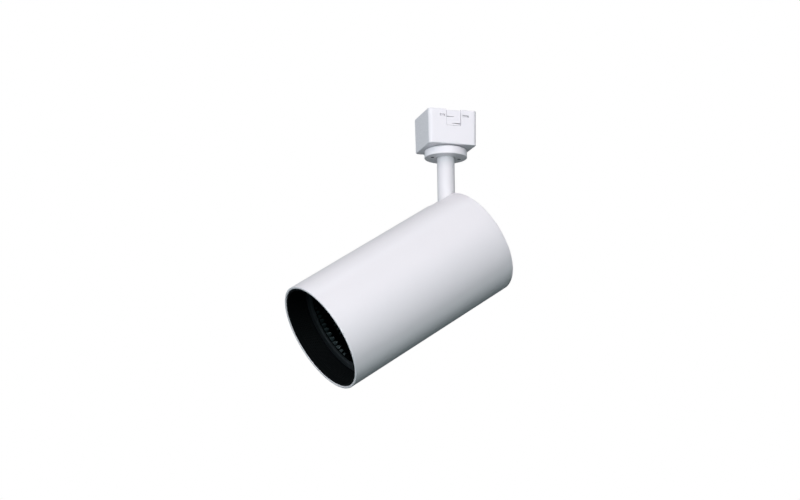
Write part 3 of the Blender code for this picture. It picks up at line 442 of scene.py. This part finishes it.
def carrier():
    size_x = ADAPTER_X - 2 * ADAPTER_WALL - 2 * GAP
    size_y = ADAPTER_Y - 2 * ADAPTER_WALL - 2 * GAP
    thing = to_object(block(size_x, size_y, -3 * MM, 0.0, MM, steps=5), "contact_tray")
    leg_outer = size_y / 2
    joins = []
    for low_x, high_x in SNAP_WINDOWS:
        low_x += GAP
        high_x -= GAP
        for side in (-1, 1):
            across = sorted((side * (leg_outer - 1.4 * MM), side * leg_outer))
            joins.append(box((low_x, across[0], -6.2 * MM), (high_x, across[1], -2.5 * MM)))
            reach = sorted((side * (leg_outer - 0.5 * MM), side * (ADAPTER_Y / 2 - 0.7 * MM)))
            joins.append(box(
                (low_x + 0.1 * MM, reach[0], SNAP_BOTTOM + GAP),
                (high_x - 0.1 * MM, reach[1], SNAP_TOP - GAP),
            ))
    cuts = []
    for x in (-9 * MM, 9 * MM):
        cuts.append(box((x - 0.9 * MM, -4.3 * MM, -10 * MM), (x + 0.9 * MM, 4.3 * MM, 10 * MM)))
    cuts.append(box((-4.3 * MM, 10.1 * MM, -10 * MM), (4.3 * MM, 11.9 * MM, 10 * MM)))
    for x in (-9 * MM, 9 * MM):
        cuts.append(box((x - 2.2 * MM, -5.6 * MM, -0.5 * MM), (x + 2.2 * MM, 5.6 * MM, MM)))
    cuts.append(box((-5.6 * MM, 8.8 * MM, -0.5 * MM), (5.6 * MM, 13.2 * MM, MM)))
    shape(thing, cuts=cuts, joins=joins, bevel=0.15 * MM)
    show(thing, ADAPTER, "adapter", "white_plastic", "contact_carrier")


def blades():
    half = 4 * MM
    tail = half / 2
    for node, matrix in (
        ("live_contact", Matrix.Translation((-9 * MM, 0, 0)) @ Matrix.Rotation(math.pi / 2, 4, "Z")),
        ("neutral_contact", Matrix.Translation((9 * MM, 0, 0)) @ Matrix.Rotation(math.pi / 2, 4, "Z")),
        ("earth_contact", Matrix.Translation((0, 11 * MM, 0))),
    ):
        outline = fillet([
            (tail, -10.5 * MM, 0.3 * MM), (tail, -4.5 * MM, 0.3 * MM), (half, -4.5 * MM, 0.3 * MM),
            (half, 2.5 * MM, 1.2 * MM), (-half, 2.5 * MM, 1.2 * MM), (-half, -4.5 * MM, 0.3 * MM),
            (-tail, -4.5 * MM, 0.3 * MM), (-tail, -10.5 * MM, 0.3 * MM),
        ], steps=8)
        thing = to_object(plate(outline, -0.6 * MM, 0.6 * MM), node.replace("contact", "blade"))
        shape(thing, bevel=0.25 * MM, angle=60, steps=3)
        show(thing, matrix @ turned_to("-Y"), "adapter", "copper", node)


def disc():
    top = -ADAPTER_HEIGHT - GAP
    shoulder = top - 0.8 * MM
    neck = 14.2 * MM
    bore = STEM_RADIUS + GAP
    profile = fillet([
        (neck, top, 0), (neck, shoulder, 0), (DISC_RADIUS, shoulder, 0.3 * MM),
        (DISC_RADIUS, DISC_BOTTOM, 0.5 * MM), (bore, DISC_BOTTOM, 0.25 * MM), (bore, top, 0),
    ])
    seat = DISC_BOTTOM + DISC_RECESS
    cuts = []
    for side in (-1, 1):
        at = Matrix.Translation((side * DISC_SCREWS, 0, 0))
        cuts.append(moved(rod(1.8 * MM, DISC_BOTTOM - MM, seat, 48), at))
        cuts.append(moved(rod(1.3 * MM, DISC_BOTTOM, top + MM, 32), at))
    finish_lathe(
        "swivel_plate", profile, ADAPTER, "adapter", "white_plastic", "swivel_disc", 160, cuts, 0.12 * MM,
    )
    for side, label in ((-1, "left"), (1, "right")):
        # The disc screws take the near-black steel, whose dark colour is painted shade for their recesses.
        matrix = Matrix.Translation((side * DISC_SCREWS, 0, seat - GAP)) @ turned_to("-Z")
        screw(f"disc_screw_{label}", matrix, "adapter", "black_steel", 1.5 * MM, 1.6 * MM, MM, 6.3 * MM)


def screw(node, matrix, body, finish, head, height, shank, length):
    """A cheese-head screw with a cross recess, standing on z = 0 under its head."""
    rings = []
    pitch = 0.5 * MM
    turns = int(length / pitch) - 1
    for i in range(turns):
        z = -0.4 * MM - i * pitch
        rings += [(shank, z, 0), (shank * 0.82, z - pitch / 2, 0)]
    profile = fillet(
        [(0, height, 0), (head, height, 0.3 * MM), (head, 0, 0.1 * MM), (shank, 0, 0)] + rings
        + [(shank * 0.7, -length, 0), (0, -length, 0)], steps=4,
    )
    depth = height * 0.55
    arm = head * 0.62
    slim = head * 0.16
    cuts = [
        box((-arm, -slim, height - depth), (arm, slim, height + MM)),
        box((-slim, -arm, height - depth), (slim, arm, height + MM)),
    ]
    thing = to_object(lathe(profile, 40), node.replace("screw", "fixing"))
    shape(thing, cuts=cuts)
    show(thing, matrix, body, finish, node)


def latch():
    """The lock slider, with a tapering cut in from each side."""
    face = -(ADAPTER_Y / 2 - 0.6 * MM)
    back = -(ADAPTER_Y / 2 - ADAPTER_WALL)
    half = LATCH_WIDTH / 2 - GAP
    low = -LATCH_DEPTH + GAP
    left, right = LATCH_X - half, LATCH_X + half
    outline = fillet([
        (left, -MM, 0.3 * MM), (left, low, 0.2 * MM), (right, low, 0.2 * MM), (right, -MM, 0.3 * MM),
    ])
    thing = to_object(moved(plate(outline, -back, -face), turned_to("-Y")), "lock_slider")
    joins = [
        box((left + GAP, back - GAP, -8.7 * MM), (right - GAP, back + 2 * GAP, -6.9 * MM)),
        box((left - 1.4 * MM, back + GAP, -9.0 * MM), (right + 1.4 * MM, back + 1.5 * MM, -6.6 * MM)),
    ]
    cuts = []
    for mouth, tip, level, half_cut in (
        (left - GAP, 0.8 * MM, -5.6 * MM, 0.3 * MM),
        (right + GAP, -0.9 * MM, -10.6 * MM, 0.4 * MM),
    ):
        outline = [
            (mouth, level + half_cut), (tip, level + 0.1 * MM),
            (tip, level - 0.1 * MM), (mouth, level - half_cut),
        ]
        cuts.append(moved(plate(outline, -back - GAP, GAP - face), turned_to("-Y")))
    shape(thing, cuts=cuts, joins=joins, bevel=0.06 * MM)
    show(thing, ADAPTER, "latch", "white_plastic", "latch_slider", sharp=8.0)


# ---------------------------------------------------------------- stem
def stem():
    foot = PIVOT.z + 12.3 * MM
    bore = 4.9 * MM
    profile = fillet([
        (STEM_RADIUS, -15.5 * MM, 0.4 * MM), (STEM_RADIUS, foot, 0.2 * MM),
        (bore, foot, 0.2 * MM), (bore, -15.5 * MM, 0.2 * MM),
    ])
    across = Matrix.Translation((0, 0, foot + 3.2 * MM)) @ turned_to("Y")
    hole = moved(rod(1.3 * MM, -10 * MM, 10 * MM, 32), across)
    finish_lathe("stem_sleeve", profile, STEM, "stem", "white_paint", "stem_tube", 128, [hole], 0.1 * MM)


# ---------------------------------------------------------------- head
ON_AXIS = HEAD @ Matrix.Translation((0, 0, AXIS_Z)) @ turned_to("X")


def set_screw_place(angle):
    """Where a set screw's axis leaves the tube's, in the head's frame."""
    return Matrix.Translation((SET_SCREW_X, 0, AXIS_Z)) @ Matrix.Rotation(math.radians(-angle), 4, "X")


def tube():
    """The painted tube. Its slot is open to the rear and round about the pivot."""
    bm = bmesh.new()
    columns = 224
    edge = 0.4 * MM
    chamfer = 0.35 * MM
    inner_radius = TUBE_RADIUS - TUBE_WALL
    round_steps = 16

    def plan(offset):
        """Half of the slot's outline from its front tip to the rear, as (x, half width)."""
        reach = SLOT_HALF + offset
        turns = [math.pi / 2 * k / round_steps for k in range(round_steps + 1)]
        points = [(-reach * math.cos(t), reach * math.sin(t)) for t in turns]
        points += [(REAR_X * k / 4, reach) for k in (1, 2, 3)]
        return points

    def ring(radius, x, half_width=0.0):
        """Points round the tube at one place along it, from one side of the slot to the other."""
        gap = math.asin(min(1.0, half_width / radius))
        row = []
        for i in range(columns + (1 if half_width > 0 else 0)):
            angle = gap + (math.tau - 2 * gap) * i / columns
            row.append(bm.verts.new((x, radius * math.sin(angle), AXIS_Z + radius * math.cos(angle))))
        return row

    rear = fillet([
        (inner_radius, REAR_X, 0), (TUBE_RADIUS, REAR_X, edge), (TUBE_RADIUS, 0, 0),
    ], closed=False, steps=4)[1:-1]
    mouth = fillet([
        (TUBE_RADIUS, 0, 0), (TUBE_RADIUS, MOUTH_X, 0.5 * MM),
        (inner_radius, MOUTH_X, edge), (inner_radius, 0, 0),
    ], closed=False, steps=5)[1:-1]
    outer_plan = plan(chamfer)
    inner_plan = plan(0.0)
    outer_slot = [ring(TUBE_RADIUS, x, w) for x, w in outer_plan[1:]]
    tip_outer = ring(TUBE_RADIUS, outer_plan[0][0])
    straight_end = MOUTH_X + edge
    straight = [straight_end + (outer_plan[0][0] - straight_end) * k / 32 for k in range(31, 0, -1)]
    rear_rows = [ring(r, x, SLOT_HALF + chamfer) for r, x in rear]
    rear_rows.append(ring(inner_radius + edge / 2, REAR_X, SLOT_HALF + chamfer / 3))
    inner_rear = ring(inner_radius, REAR_X - edge / 2, SLOT_HALF)
    inner_slot = [ring(inner_radius, x, w) for x, w in inner_plan[1:]]
    tip_inner = ring(inner_radius, inner_plan[0][0])
    open_rows = inner_slot + [inner_rear] + rear_rows[::-1] + outer_slot[::-1]
    for first, second in zip(open_rows, open_rows[1:]):
        strip(bm, first, second, closed=False)
    for tip, first in ((tip_outer, outer_slot[0]), (tip_inner, inner_slot[0])):
        strip(bm, tip + tip[:1], first, closed=False)
    forward = [tip_outer] + [ring(TUBE_RADIUS, x) for x in straight] + [ring(r, x) for r, x in mouth]
    forward += [ring(inner_radius, x) for x in reversed(straight)] + [tip_inner]
    for first, second in zip(forward, forward[1:]):
        strip(bm, first, second)
    for end in (0, -1):
        side = 1 if end == 0 else -1
        outer_line = [tip_outer[0]] + [row[end] for row in outer_slot]
        inner_line = [tip_inner[0]] + [row[end] for row in inner_slot]
        wall = []
        for x, w in inner_plan:
            radius = TUBE_RADIUS - chamfer
            wall.append(bm.verts.new((x, side * w, AXIS_Z + math.sqrt(radius ** 2 - w ** 2))))
        strip(bm, outer_line, wall, closed=False)
        strip(bm, wall, inner_line, closed=False)
        rear_line = [row[end] for row in rear_rows]
        bm.faces.new([outer_line[-1]] + rear_line + [inner_rear[end], inner_line[-1], wall[-1]])
    bmesh.ops.remove_doubles(bm, verts=bm.verts, dist=GAP / 100)
    thing = to_object(bm, "tube_shell")
    cuts = [moved(rod(1.8 * MM, 33.5 * MM, 45 * MM, 40), set_screw_place(angle)) for angle, _ in SET_SCREWS]
    shape(thing, cuts=cuts, solver="MANIFOLD")
    show(thing, HEAD, "head", "white_paint", "body_tube", sharp=32)


def grub_screws():
    top = TUBE_RADIUS - 0.3 * MM
    for angle, label in SET_SCREWS:
        profile = fillet([
            (0, top, 0), (1.5 * MM, top, 0.2 * MM), (1.5 * MM, 34.2 * MM, 0),
            (0.8 * MM, 33.8 * MM, 0), (0, 33.8 * MM, 0),
        ])
        socket = rod(0.8 * MM, top - 1.2 * MM, top + MM, 6)
        thing = shape(to_object(lathe(profile, 40), f"grub_screw_{label}"), cuts=[socket])
        show(thing, HEAD @ set_screw_place(angle), "head", "zinc_steel", f"set_screw_{label}")


def cap():
    outer = REAR_X - 0.2 * MM
    inner = outer - 2.5 * MM
    profile = fillet([
        (0, outer, 0), (FIT_RADIUS, outer, 0.4 * MM), (FIT_RADIUS, inner, 0.2 * MM), (0, inner, 0),
    ])
    reach = SLOT_HALF
    outline = [(30 * MM, reach)]
    turns = [math.pi * k / 32 for k in range(33)]
    outline += [(-reach * math.sin(t), reach * math.cos(t)) for t in turns]
    outline.append((30 * MM, -reach))
    slot = moved(plate(outline, -5 * MM, 5 * MM), Matrix.Translation((outer, 0, 0)) @ turned_to("-X"))
    slot = moved(slot, (Matrix.Translation((0, 0, AXIS_Z)) @ turned_to("X")).inverted())
    cuts = [slot]
    places = []
    for angle in (30, 150, 270):
        turn = math.radians(angle)
        y = 33 * MM * math.cos(turn)
        z = 33 * MM * math.sin(turn)
        places.append((y, z + AXIS_Z))
        at = Matrix.Translation((-z, y, 0))
        cuts.append(moved(rod(1.3 * MM, inner - MM, outer, 32), at))
        cuts.append(moved(rod(2.8 * MM, outer - 1.4 * MM, outer + MM, 48), at))
    finish_lathe("end_plate", profile, ON_AXIS, "head", "white_paint", "rear_cap", 160, cuts, 0.2 * MM)
    for number, (y, z) in enumerate(places, 1):
        matrix = HEAD @ Matrix.Translation((outer - 1.4 * MM + GAP / 2, y, z)) @ turned_to("X")
        screw(f"rear_cap_screw_{number}", matrix, "head", "white_paint", 2.5 * MM, 1.2 * MM, MM, 6 * MM)


def bowl_radius(depth):
    mouth = BOWL_MOUTH ** 2
    return math.sqrt(mouth + (BOWL_THROAT ** 2 - mouth) * depth / BOWL_DEPTH)


def bowl():
    """The fluted reflector: convex facets inside, a plain spun outside and a flange."""
    around = 54
    rows = 5
    fine = 6
    tall = 4
    columns = around * fine
    bulge = 0.32 * MM
    bm = bmesh.new()

    def ring(radius, x, lift=None):
        row = []
        for i in range(columns):
            angle = math.tau * i / columns
            u = (i % fine) / fine * 2 - 1
            r = radius
            if lift is not None:
                r *= math.cos(math.pi / around) / math.cos(u * math.pi / around)
                r -= lift * (1 - u * u) * radius / BOWL_MOUTH
            row.append(bm.verts.new((r * math.cos(angle), r * math.sin(angle), x)))
        return row

    inside = []
    for j in range(rows * tall + 1):
        row = min(j // tall, rows - 1)
        local = j / tall - row
        near = BOWL_DEPTH * (row / rows) ** 1.15
        far = BOWL_DEPTH * ((row + 1) / rows) ** 1.15
        radius = bowl_radius(near) + (bowl_radius(far) - bowl_radius(near)) * local
        lift = bulge * (0.35 + 0.65 * (1 - (2 * local - 1) ** 2))
        inside.append(ring(radius, BOWL_START + near + (far - near) * local, lift))
    wall = MM
    depths = [BOWL_DEPTH * k / 10 for k in range(10, 0, -1)]
    outside = [ring(bowl_radius(depth) + wall, BOWL_START + depth) for depth in depths]
    back = BOWL_START + MM
    flange = [
        ring(bowl_radius(MM) + wall, back), ring(34.3 * MM, back), ring(34.5 * MM, back - 0.2 * MM),
        ring(34.5 * MM, BOWL_START + 0.2 * MM), ring(34.3 * MM, BOWL_START),
        ring(BOWL_MOUTH + 0.3 * MM, BOWL_START),
    ]
    loop = inside + outside + flange
    for first, second in zip(loop, loop[1:] + loop[:1]):
        strip(bm, first, second)
    thing = to_object(bm, "mirror_bowl")
    show(thing, ON_AXIS, "head", "dark_mirror", "reflector", sharp=12.0)


def trim():
    start = MOUTH_X + 0.4 * MM
    end = MOUTH_X + 16.3 * MM
    bore = FIT_RADIUS - 1.2 * MM
    steps = 9
    inside = []
    for i in range(steps):
        x = end - 1.2 * MM - i * 1.25 * MM
        inside += [(bore, x, 0), (bore + 0.22 * MM, x - 0.5 * MM, 0)]
    profile = fillet([
        (FIT_RADIUS, end, 0.2 * MM), (FIT_RADIUS, start, 0.3 * MM),
        (bore, start, 0.3 * MM), (bore, start + 1.6 * MM, 0),
    ] + inside[::-1] + [(bore, end, 0.2 * MM)])
    # The sleeve's near-black colour is partly its own black and partly painted shade for its unlit inside.
    finish_lathe("snoot_sleeve", profile, ON_AXIS, "head", "black_plastic", "glare_sleeve", 192)
    low = end + GAP
    high = MOUTH_X + 18.5 * MM
    profile = fillet([
        (FIT_RADIUS, high, 0.2 * MM), (FIT_RADIUS, low, 0.2 * MM),
        (31.8 * MM, low, 0.5 * MM), (31.8 * MM, high, 0.2 * MM),
    ])
    finish_lathe("bowl_ring", profile, ON_AXIS, "head", "ring_black", "reflector_ring", 192)


adapter_shell()
carrier()
blades()
disc()
latch()
stem()
tube()
grub_screws()
cap()
bowl()
trim()

# ---------------------------------------------------------------- finishes of the carried-over CAD nodes
for part in frame["record"]["subparts"]:
    materials = frame["nodes"][part["node"]].data.materials
    for index in range(len(materials)):
        materials[index] = FINISH[part["material_slot"]]


# ---------------------------------------------------------------- floor, light and camera
TARGET = Vector((-33.0, 8.9, -101.0)) * MM
FLOOR_Z = CAD_BOX[0][2] - 0.16
FLOOR_GLOW = 0.45
WHITE = (1, 1, 1, 1)


def direction(azimuth, elevation):
    a, e = math.radians(azimuth), math.radians(elevation)
    return Vector((math.sin(a) * math.cos(e), -math.cos(a) * math.cos(e), math.sin(e)))


def floor():
    bm = bmesh.new()
    bmesh.ops.create_grid(bm, x_segments=8, y_segments=8, size=6.0)
    thing = to_object(moved(bm, Matrix.Translation((0, 0, FLOOR_Z))), "floor")
    material = surface(
        "pale_floor", (0.86, 0.86, 0.86), (0.84, 0.84, 0.845), 0.6, 2 * MM, 0.02 * MM, patch=0.4,
    )
    paint = material.node_tree.nodes["Principled BSDF"]
    paint.inputs["Emission Color"].default_value = WHITE
    paint.inputs["Emission Strength"].default_value = FLOOR_GLOW
    thing.data.materials.append(material)
    thing.visible_diffuse = False
    thing.visible_glossy = False


def soft_light(name, azimuth, elevation, distance, width, height, power, colour=(1, 1, 1)):
    data = bpy.data.lights.new(name, "AREA")
    data.shape = "RECTANGLE"
    data.size = width
    data.size_y = height
    data.energy = power
    data.color = colour
    lamp = bpy.data.objects.new(name, data)
    bpy.context.scene.collection.objects.link(lamp)
    back = direction(azimuth, elevation)
    lamp.location = TARGET + back * distance
    lamp.rotation_euler = back.to_track_quat("Z", "Y").to_euler()
    return lamp


def surroundings():
    world = bpy.data.worlds.new("studio")
    bpy.context.scene.world = world
    world.use_nodes = True
    tree = world.node_tree
    output = tree.nodes["World Output"]
    seen = tree.nodes["Background"]
    seen.inputs["Color"].default_value = WHITE
    seen.inputs["Strength"].default_value = 1.0
    where = add_node(tree, "ShaderNodeTexCoord")
    parts = add_node(tree, "ShaderNodeSeparateXYZ", {"Vector": where.outputs["Generated"]})
    ramp = add_node(tree, "ShaderNodeValToRGB")
    tree.links.new(remap(tree, parts.outputs["Z"], -1.0, 1.0), ramp.inputs["Fac"])
    stops = ramp.color_ramp.elements
    stops[0].position = 0.30
    stops[0].color = (0.025, 0.039, 0.040, 1)
    stops[1].position = 0.85
    stops[1].color = (0.40, 0.45, 0.45, 1)
    middle = stops.new(0.55)
    middle.color = (0.146, 0.189, 0.196, 1)
    lit = add_node(tree, "ShaderNodeBackground", {"Color": ramp.outputs["Color"], "Strength": 1.0})
    path = add_node(tree, "ShaderNodeLightPath")
    both = add_node(tree, "ShaderNodeMixShader", {"Fac": path.outputs["Is Camera Ray"]})
    tree.links.new(lit.outputs["Background"], both.inputs[1])
    tree.links.new(seen.outputs["Background"], both.inputs[2])
    tree.links.new(both.outputs["Shader"], output.inputs["Surface"])


def camera():
    data = bpy.data.cameras.new("camera")
    data.lens = 64.446
    data.sensor_width = 36.0
    data.clip_start = 0.01
    data.clip_end = 50.0
    thing = bpy.data.objects.new("camera", data)
    bpy.context.scene.collection.objects.link(thing)
    back = direction(-17.473, -11.709)
    right = Vector((0, 0, 1)).cross(back).normalized()
    up = back.cross(right)
    roll = math.radians(-0.5357)
    level, rise = math.cos(roll), math.sin(roll)
    axes = Matrix((level * right + rise * up, level * up - rise * right, back)).transposed().to_4x4()
    thing.matrix_world = Matrix.Translation(TARGET + back * 1.0351) @ axes
    bpy.context.scene.camera = thing


floor()
surroundings()
soft_light("key", -24, 24, 1.6, 1.0, 1.3, 8.0, (1.0, 0.76, 0.80)).visible_glossy = False
soft_light("key_right", 6, 24, 1.6, 0.9, 1.3, 4.0, (1.0, 0.88, 0.94))
soft_light("strip", -20, 7, 1.6, 0.30, 0.10, 0.12)
soft_light("fill", -22, -16, 1.6, 1.9, 1.4, 33.5, (0.83, 0.95, 0.97)).visible_glossy = False
soft_light("side", -100, 4, 1.6, 0.8, 1.0, 6.2, (0.83, 0.88, 0.97)).visible_glossy = False
soft_light("back", 150, 12, 1.6, 1.8, 1.2, 12.0, (1.0, 0.97, 0.96)).visible_glossy = False
camera()
bpy.context.scene.view_settings.view_transform = "Standard"
